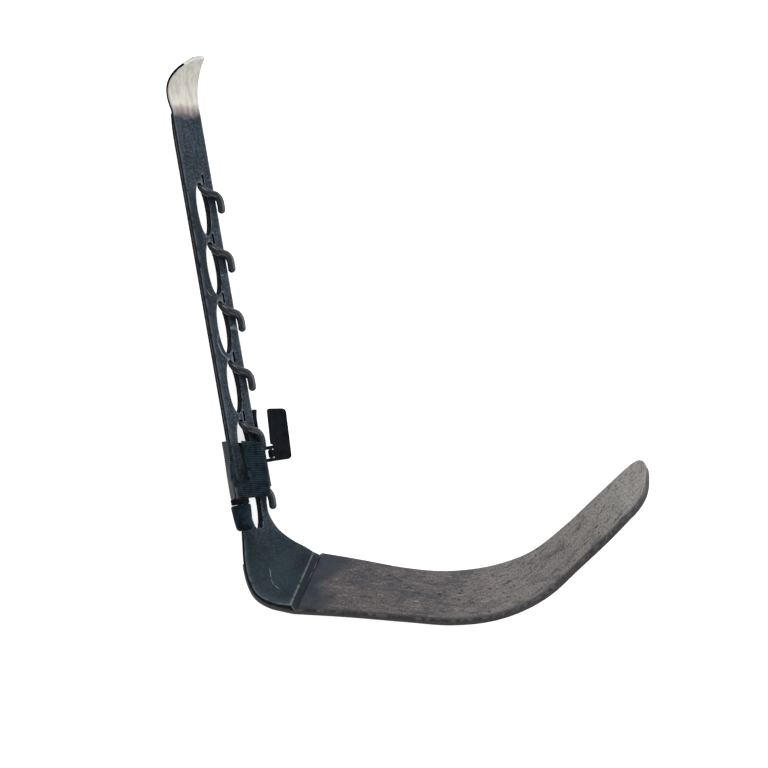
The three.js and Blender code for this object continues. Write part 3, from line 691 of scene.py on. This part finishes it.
class Paint:
    """A material with a Principled shader, and short names for the nodes that feed it."""

    def __init__(self, name):
        self.material = bpy.data.materials.new(name)
        self.material.use_nodes = True
        self.tree = self.material.node_tree
        self.shader = self.tree.nodes["Principled BSDF"]

    def feed(self, socket, value):
        if isinstance(value, bpy.types.NodeSocket):
            self.tree.links.new(value, socket)
        else:
            socket.default_value = value

    def node(self, kind, inputs, **settings):
        made = self.tree.nodes.new(kind)
        for key, value in settings.items():
            setattr(made, key, value)
        for key, value in inputs.items():
            self.feed(made.inputs[key], value)
        return made

    def attribute(self, name):
        return self.node("ShaderNodeAttribute", {}, attribute_name=name)

    def axes(self, place):
        """The three parts of a place."""
        return self.node("ShaderNodeSeparateXYZ", {"Vector": place}).outputs

    def noise(self, place, scale, detail=4, rough=0.55, stretch=(1, 1, 1), warp=0.0):
        moved = self.node("ShaderNodeMapping", {"Vector": place, "Scale": stretch})
        made = self.node("ShaderNodeTexNoise", {
            "Vector": moved.outputs[0],
            "Scale": scale,
            "Detail": detail,
            "Roughness": rough,
            "Distortion": warp,
        })
        return made.outputs["Fac"]

    def ramp(self, value, low, high):
        """0 below low, 1 above high, smooth between them. Falls where low is above high."""
        rising = low < high
        inputs = {
            "Value": value,
            "From Min": min(low, high),
            "From Max": max(low, high),
            "To Min": 0.0 if rising else 1.0,
            "To Max": 1.0 if rising else 0.0,
        }
        return self.node("ShaderNodeMapRange", inputs, interpolation_type="SMOOTHSTEP").outputs["Result"]

    def span(self, value, low, high, from_low=0.0, from_high=1.0):
        """A straight line from low to high."""
        inputs = {"Value": value, "From Min": from_low, "From Max": from_high, "To Min": low, "To Max": high}
        return self.node("ShaderNodeMapRange", inputs).outputs["Result"]

    def math(self, operation, a, b=0.0):
        return self.node("ShaderNodeMath", {0: a, 1: b}, operation=operation).outputs[0]

    def along_line(self, place, direction):
        """How far a place lies along a direction."""
        made = self.node("ShaderNodeVectorMath", {0: place, 1: direction}, operation="DOT_PRODUCT")
        return made.outputs["Value"]

    def both(self, *values):
        """The product of masks."""
        result = values[0]
        for value in values[1:]:
            result = self.math("MULTIPLY", result, value)
        return result

    def mix(self, factor, a, b):
        made = self.node("ShaderNodeMix", {}, data_type="RGBA")
        self.feed(made.inputs[0], factor)
        self.feed(made.inputs[6], a)
        self.feed(made.inputs[7], b)
        return made.outputs[2]

    def colours(self, value, stops):
        """A colour band: stops are (position, colour)."""
        made = self.node("ShaderNodeValToRGB", {"Fac": value})
        band = made.color_ramp.elements
        while len(band) < len(stops):
            band.new(0.5)
        for element, (position, colour) in zip(band, stops):
            element.position = position
            element.color = colour
        return made.outputs["Color"]

    def lines(self, place, scale, width):
        """Hairline scratches: where a smooth noise crosses its middle value, in some patches only."""
        level = self.noise(place, scale, 1, 0.4, warp=0.3)
        near = self.math("ABSOLUTE", self.math("SUBTRACT", level, 0.5))
        patches = self.ramp(self.noise(place, scale * 2.3, 2), 0.52, 0.6)
        return self.both(self.ramp(near, width, width * 0.2), patches)

    def bump(self, height, distance, strength=1.0, before=None):
        inputs = {"Height": height, "Distance": distance, "Strength": strength}
        if before:
            inputs["Normal"] = before
        return self.node("ShaderNodeBump", inputs).outputs[0]

    def finish(self, colour, rough, bump, metal=0.0, specular=0.5):
        self.feed(self.shader.inputs["Base Color"], colour)
        self.feed(self.shader.inputs["Roughness"], rough)
        self.feed(self.shader.inputs["Normal"], bump)
        self.shader.inputs["Metallic"].default_value = metal
        self.shader.inputs["Specular IOR Level"].default_value = specular
        return self.material


def bevel_mask(paint, place):
    """1 on the sloped face beyond the heel's last full-depth section, where shade is painted."""
    high, low, normal = (BAR_TURN.inverted() @ v for v in heel_station(1))
    onward = (low - high).normalized().cross(normal)
    onward *= math.copysign(1, -onward.y)
    reach = paint.along_line(place, onward)
    start = high.dot(onward) * MM
    return paint.ramp(reach, start + 0.0001, start + 0.0004)


def hook_steel():
    """Dark round rod, glossier than the bar."""
    paint = Paint("hook_steel")
    place = paint.attribute("flow").outputs["Vector"]
    cloud = paint.noise(place, 260, 4, 0.6)
    grain = paint.noise(place, 2200, 4, 0.7)
    steel = paint.mix(paint.ramp(cloud, 0.36, 0.64), rgb(15, 22, 29), rgb(30, 38, 46))
    steel = paint.mix(paint.both(paint.ramp(grain, 0.50, 0.68), 0.3), steel, rgb(92, 102, 110))
    bump = paint.bump(grain, 0.00005, 0.5)
    return paint.finish(steel, paint.span(cloud, 0.24, 0.36), bump, metal=0.2, specular=0.4)


def bar_steel():
    """Dark blued steel: a greener heel, painted shade on the bevel and the left rail, painted hook shadows,
    a bright polished tip, pale edges that are worn and carry a painted highlight, scratches.
    """
    paint = Paint("bar_steel")
    place = paint.attribute("flow").outputs["Vector"]
    wear = paint.attribute("wear").outputs["Fac"]
    across, along = paint.axes(place)[:2]
    streak = paint.noise(place, 700, 5, 0.6, (1.0, 0.10, 1.0))
    cloud = paint.noise(place, 90, 5, 0.65)
    grain = paint.noise(place, 950, 4, 0.7)
    wander = paint.span(cloud, -0.0025, 0.0025, 0.3, 0.7)
    up = paint.math("ADD", along, wander)

    steel = paint.mix(paint.ramp(streak, 0.38, 0.64), rgb(32, 40, 49), rgb(54, 62, 72))
    steel = paint.mix(paint.both(paint.ramp(cloud, 0.40, 0.62), 0.7), steel, rgb(30, 38, 46))
    steel = paint.mix(paint.both(paint.ramp(grain, 0.50, 0.66), 0.50), steel, rgb(86, 96, 105))
    steel = paint.mix(paint.both(paint.ramp(grain, 0.48, 0.36), 0.50), steel, rgb(14, 20, 26))
    # Painted shade: the face's left rail is darker along the upper bar. The same rail mask also carries the
    # hooks' painted shadows below.
    left_rail = paint.ramp(across, -0.0022, -0.0036)
    upper = paint.both(paint.ramp(along, 0.165, 0.155), paint.ramp(along, 0.060, 0.120))
    steel = paint.mix(paint.both(left_rail, upper, 0.6), steel, rgb(20, 27, 34))

    # Painted shadow: a dark patch on the left rail at each hook's pitch, where the hooks' shadows fall.
    pitch = paint.math("FRACT", paint.span(along, 0.0, 1.0, -0.0005, 0.0295))
    hook_shadow = paint.both(paint.ramp(pitch, 0.62, 0.69), paint.ramp(pitch, 0.84, 0.76), left_rail)
    hook_shadow_reach = paint.both(paint.ramp(along, 0.160, 0.156), paint.ramp(along, 0.034, 0.040))
    steel = paint.mix(paint.both(hook_shadow, hook_shadow_reach, 0.6), steel, rgb(12, 17, 22))

    heel = paint.mix(paint.ramp(cloud, 0.34, 0.66), rgb(14, 27, 32), rgb(24, 37, 45))
    heel = paint.mix(paint.both(paint.ramp(grain, 0.48, 0.68), 0.35), heel, rgb(50, 66, 72))
    steel = paint.mix(paint.ramp(up, -0.004, -0.026), steel, heel)
    # Painted shade on the heel's sloped bevel.
    steel = paint.mix(paint.both(bevel_mask(paint, place), 0.85), steel, rgb(8, 14, 20))

    scale = paint.mix(paint.ramp(streak, 0.34, 0.66), rgb(150, 138, 136), rgb(118, 112, 114))
    bright = paint.mix(paint.ramp(streak, 0.40, 0.62), rgb(192, 190, 182), rgb(176, 170, 162))
    steel = paint.mix(paint.ramp(up, 0.1945, 0.1985), steel, scale)
    steel = paint.mix(paint.ramp(up, 0.1985, 0.2030), steel, bright)

    # Pale sharp edges: edge wear, and also a painted highlight along the rounded edges.
    rubbed = paint.both(wear, paint.ramp(paint.noise(place, 240, 3), 0.30, 0.55))
    steel = paint.mix(paint.both(rubbed, 0.5), steel, rgb(128, 138, 146))
    scratch = paint.lines(place, 38, 0.006)
    steel = paint.mix(paint.both(scratch, 0.55), steel, rgb(132, 146, 152))

    rough = paint.span(streak, 0.38, 0.56)
    bump = paint.bump(streak, 0.00010, 0.35)
    bump = paint.bump(grain, 0.00006, 0.5, bump)
    bump = paint.bump(scratch, 0.00008, 0.4, bump)
    return paint.finish(steel, rough, bump, metal=0.25, specular=0.14)


def blade_steel():
    """Worn, stained steel: grey and brown stains, dark pits, a dark blue coat near the heel, painted light
    that makes it lighter towards the tip, and painted shade on its walls and outer edge.
    """
    paint = Paint("blade_steel")
    place = paint.attribute("flow").outputs["Vector"]
    wear = paint.attribute("wear").outputs["Fac"]
    along, across, depth = paint.axes(place)
    streak = paint.noise(place, 620, 6, 0.7, (0.22, 1.0, 1.0), 0.4)
    smear = paint.noise(place, 150, 6, 0.68, (0.45, 1.0, 1.0), 0.8)
    cloud = paint.noise(place, 42, 4, 0.6, (0.6, 1.0, 1.0), 0.4)
    grain = paint.noise(place, 1000, 5, 0.75)

    shifted = paint.math("ADD", along, paint.span(cloud, -0.008, 0.008, 0.3, 0.7))
    # After the dark blue coat at the root, the colour band turns steadily lighter towards the tip: painted
    # light.
    base = paint.colours(paint.span(shifted, 0.0, 1.0, 0.02, 0.27), [
        (0.0, rgb(22, 32, 42)), (0.075, rgb(32, 40, 50)), (0.105, rgb(70, 66, 67)), (0.34, rgb(88, 83, 83)),
        (0.55, rgb(108, 104, 103)), (0.75, rgb(124, 122, 119)), (1.0, rgb(142, 140, 137))])
    root = paint.ramp(shifted, 0.042, 0.052)
    base = paint.mix(paint.both(paint.ramp(smear, 0.53, 0.68), root, 0.40), base, rgb(116, 106, 102))
    base = paint.mix(paint.both(paint.ramp(smear, 0.47, 0.34), 0.55), base, rgb(40, 42, 48))
    base = paint.mix(paint.both(paint.ramp(cloud, 0.50, 0.38), 0.60), base, rgb(48, 53, 60))
    base = paint.mix(paint.both(paint.ramp(streak, 0.55, 0.70), root, 0.30), base, rgb(160, 156, 152))
    base = paint.mix(paint.both(paint.ramp(streak, 0.46, 0.34), 0.65), base, rgb(28, 28, 32))
    base = paint.mix(paint.both(paint.ramp(grain, 0.52, 0.38), 0.60), base, rgb(30, 29, 33))
    base = paint.mix(paint.both(paint.ramp(grain, 0.54, 0.66), root, 0.22), base, rgb(150, 146, 142))

    cells = paint.node("ShaderNodeMapping", {"Vector": place, "Scale": (0.6, 1.0, 1.0)}).outputs[0]
    pit_cells = paint.node("ShaderNodeTexVoronoi", {"Vector": cells, "Scale": 420, "Randomness": 1.0})
    pits = paint.ramp(pit_cells.outputs["Distance"], 0.30, 0.14)
    pits = paint.both(pits, paint.ramp(paint.noise(place, 95, 4, 0.7), 0.52, 0.60))
    base = paint.mix(paint.both(pits, 0.75), base, rgb(26, 26, 30))

    # Painted shade: the blade's side walls, below its face, are made nearly black.
    walls = paint.ramp(depth, 0.0006, 0.0014)
    base = paint.mix(paint.both(walls, 0.95), base, rgb(11, 10, 14))
    # Painted shadow: patchy darkening along the outer edge of the face.
    rim_shade = paint.ramp(across, 0.0030, 0.0008)
    base = paint.mix(paint.both(rim_shade, paint.ramp(smear, 0.25, 0.40), 0.8), base, rgb(28, 26, 30))
    rubbed = paint.both(wear, paint.ramp(paint.noise(place, 260, 3), 0.44, 0.60))
    base = paint.mix(paint.both(rubbed, 0.35), base, rgb(130, 126, 124))

    rough = paint.span(smear, 0.46, 0.70)
    bump = paint.bump(streak, 0.00016, 0.45)
    bump = paint.bump(grain, 0.00010, 0.6, bump)
    bump = paint.bump(paint.math("SUBTRACT", 1.0, pits), 0.0002, 0.7, bump)
    return paint.finish(base, rough, bump, metal=0.2, specular=0.2)


def black_finish(name, dark, light, edge, edge_amount, specular, rough):
    """A dark moulded or painted surface with fine grain, faint smears, and paler edges that are worn and
    carry a painted highlight.
    """
    paint = Paint(name)
    place = paint.attribute("flow").outputs["Vector"]
    wear = paint.attribute("wear").outputs["Fac"]
    smear = paint.noise(place, 240, 4, 0.6, (1.0, 0.4, 1.0), 0.4)
    grain = paint.noise(place, 1800, 3, 0.6)
    base = paint.mix(paint.ramp(smear, 0.35, 0.68), dark, light)
    # Pale sharp edges: edge wear, and also a painted highlight along the rounded edges.
    rubbed = paint.both(wear, paint.ramp(paint.noise(place, 380, 3), 0.32, 0.58))
    base = paint.mix(paint.both(rubbed, edge_amount), base, edge)
    bump = paint.bump(grain, 0.00005, 0.5)
    return paint.finish(base, paint.span(smear, rough - 0.04, rough + 0.04), bump, specular=specular)


def turned_steel(name, dark, light, rough_low, rough_high):
    """Plain steel for the small inner pieces."""
    paint = Paint(name)
    place = paint.node("ShaderNodeTexCoord", {}).outputs["Object"]
    ring = paint.noise(place, 1600, 4, 0.6, (0.3, 1.0, 0.3))
    cloud = paint.noise(place, 300, 3)
    base = paint.mix(paint.ramp(ring, 0.3, 0.7), dark, light)
    bump = paint.bump(ring, 0.00005, 0.5)
    return paint.finish(base, paint.span(cloud, rough_low, rough_high), bump, metal=0.6, specular=0.4)


# ---- assembly -------------------------------------------------------------------------------------
WALL_FACING = 0.5  # below this cosine to the bar's face, a face counts as a wall


def place(piece, body, slot, material, *nodes, walls=None):
    """Hands a piece to its body. Its walls, square to the bar's face, can take a second material that paints
    shade on them.
    """
    piece.data.materials.clear()
    piece.data.materials.append(material)
    if walls:
        piece.data.materials.append(walls)
        front = BAR_TURN @ Vector((0, 0, 1))
        for face in piece.data.polygons:
            face.material_index = int(abs(face.normal.dot(front)) < WALL_FACING)
    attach(piece, body)
    if nodes:
        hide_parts(*nodes)


steel = bar_steel()
rod_steel = hook_steel()
sleeve_black = black_finish(
    "sleeve_black", dark=rgb(6, 15, 22), light=rgb(11, 25, 34), edge=rgb(96, 120, 130),
    edge_amount=0.16, specular=0.05, rough=0.50,
)
# Black for the edge leaf and the knob collar. On the bar's and strap's walls it is painted shade.
black_and_wall_shade = black_finish(
    "black_and_wall_shade", dark=rgb(5, 7, 10), light=rgb(12, 15, 20), edge=rgb(70, 78, 86),
    edge_amount=0.25, specular=0.03, rough=0.80,
)
tab_black = black_finish(
    "tab_black", dark=rgb(3, 4, 9), light=rgb(5, 8, 15), edge=rgb(104, 112, 128),
    edge_amount=0.06, specular=0.05, rough=0.45,
)
pin_steel = turned_steel("pin_steel", rgb(58, 62, 66), rgb(84, 88, 92), 0.30, 0.45)
liner_grey = turned_steel("liner_grey", rgb(46, 50, 54), rgb(60, 64, 68), 0.5, 0.7)

place(rack_bar(), "frame", "bar_steel", steel, "rack_bar", walls=black_and_wall_shade)
place(backing_strap(), "frame", "bar_steel", steel, "backing_strap", walls=black_and_wall_shade)
for index in range(WINDOW_COUNT):
    number = WINDOW_COUNT - index
    place(hook(number, hook_root(index)), "frame", "bar_steel", rod_steel, f"hook_{number}")
place(blade(), "frame", "blade_steel", blade_steel(), "blade")
place(sleeve(), "carriage", "sleeve_black", sleeve_black, "sleeve")
for name, bottom in (("ear_low", KNUCKLE_BOTTOM - GAP - EAR_LENGTH), ("ear_high", KNUCKLE_TOP + GAP)):
    place(sleeve_ear(name, bottom), "carriage", "sleeve_black", sleeve_black)
place(edge_leaf(), "carriage", "tab_black", black_and_wall_shade, "edge_leaf")
place(knob_collar(), "carriage", "tab_black", black_and_wall_shade, "knob_collar")
place(knob(), "knob", "sleeve_black", sleeve_black, "knob")
place(thumb_tab(), "tab", "tab_black", tab_black, "thumb_tab")

for name, node in frame["nodes"].items():
    if name.startswith(("strap_rivet", "heel_rivet", "tab_pin", "knob_spindle", "sleeve_liner")):
        node.data.materials.clear()
        node.data.materials.append(liner_grey if name == "sleeve_liner" else pin_steel)


# ---- floor, light and camera ----------------------------------------------------------------------
FLOOR_REACH = 1.8  # metres to each side
FLOOR_GLOW = 0.6
WORLD_GLOW = 0.45
WHITE = (1, 1, 1, 1)


def floor():
    """A plain pale floor that glows a little, so that it stays near white under the piece."""
    corners = [(x * FLOOR_REACH, y * FLOOR_REACH, 0) for x, y in ((-1, -1), (1, -1), (1, 1), (-1, 1))]
    made = new_object("floor", corners, [(0, 1, 2, 3)], Matrix.Identity(4))
    paint = Paint("floor")
    soft = paint.noise(paint.node("ShaderNodeTexCoord", {}).outputs["Object"], 3, 2)
    colour = paint.mix(soft, (0.93, 0.93, 0.93, 1), (0.95, 0.95, 0.95, 1))
    bump = paint.bump(soft, 0.0001, 0.1)
    made.data.materials.append(paint.finish(colour, paint.span(soft, 0.85, 0.95), bump, specular=0.1))
    paint.shader.inputs["Emission Color"].default_value = WHITE
    paint.shader.inputs["Emission Strength"].default_value = FLOOR_GLOW


def area_light(name, place, size, power):
    """A round soft light that looks at the middle of the piece."""
    light = bpy.data.lights.new(name, "AREA")
    light.shape = "DISK"
    light.size = size
    light.energy = power
    made = bpy.data.objects.new(name, light)
    bpy.context.scene.collection.objects.link(made)
    made.location = place
    made.rotation_mode = "QUATERNION"
    made.rotation_quaternion = (-Vector(place)).to_track_quat("-Z", "Y")


floor()
area_light("back", (-0.15, 1.05, 0.85), size=0.9, power=14)
area_light("side", (1.1, 0.25, 0.50), size=0.7, power=8)
area_light("fill", (0.2, -1.0, 1.0), size=0.9, power=5)

world = bpy.data.worlds.new("studio")
bpy.context.scene.world = world
world.use_nodes = True
world.node_tree.nodes["Background"].inputs["Color"].default_value = WHITE
world.node_tree.nodes["Background"].inputs["Strength"].default_value = WORLD_GLOW

scene = bpy.context.scene
scene.view_settings.view_transform = "Standard"

LENS = 180
SENSOR_WIDTH = 36
VIEW_WIDTH = 0.384  # metres across the picture, at the height of the piece
VIEW_HEIGHT = 0.012
VIEW_MIDDLE = (64.65, 59.4, 0)
camera_data = bpy.data.cameras.new("camera")
camera_data.lens = LENS
camera_data.sensor_width = SENSOR_WIDTH
camera = bpy.data.objects.new("camera", camera_data)
scene.collection.objects.link(camera)
aim = TOOL @ Vector(VIEW_MIDDLE)
camera.location = (aim.x, aim.y, VIEW_WIDTH * LENS / SENSOR_WIDTH + VIEW_HEIGHT)
camera.rotation_euler = (0, 0, 0)
scene.camera = camera
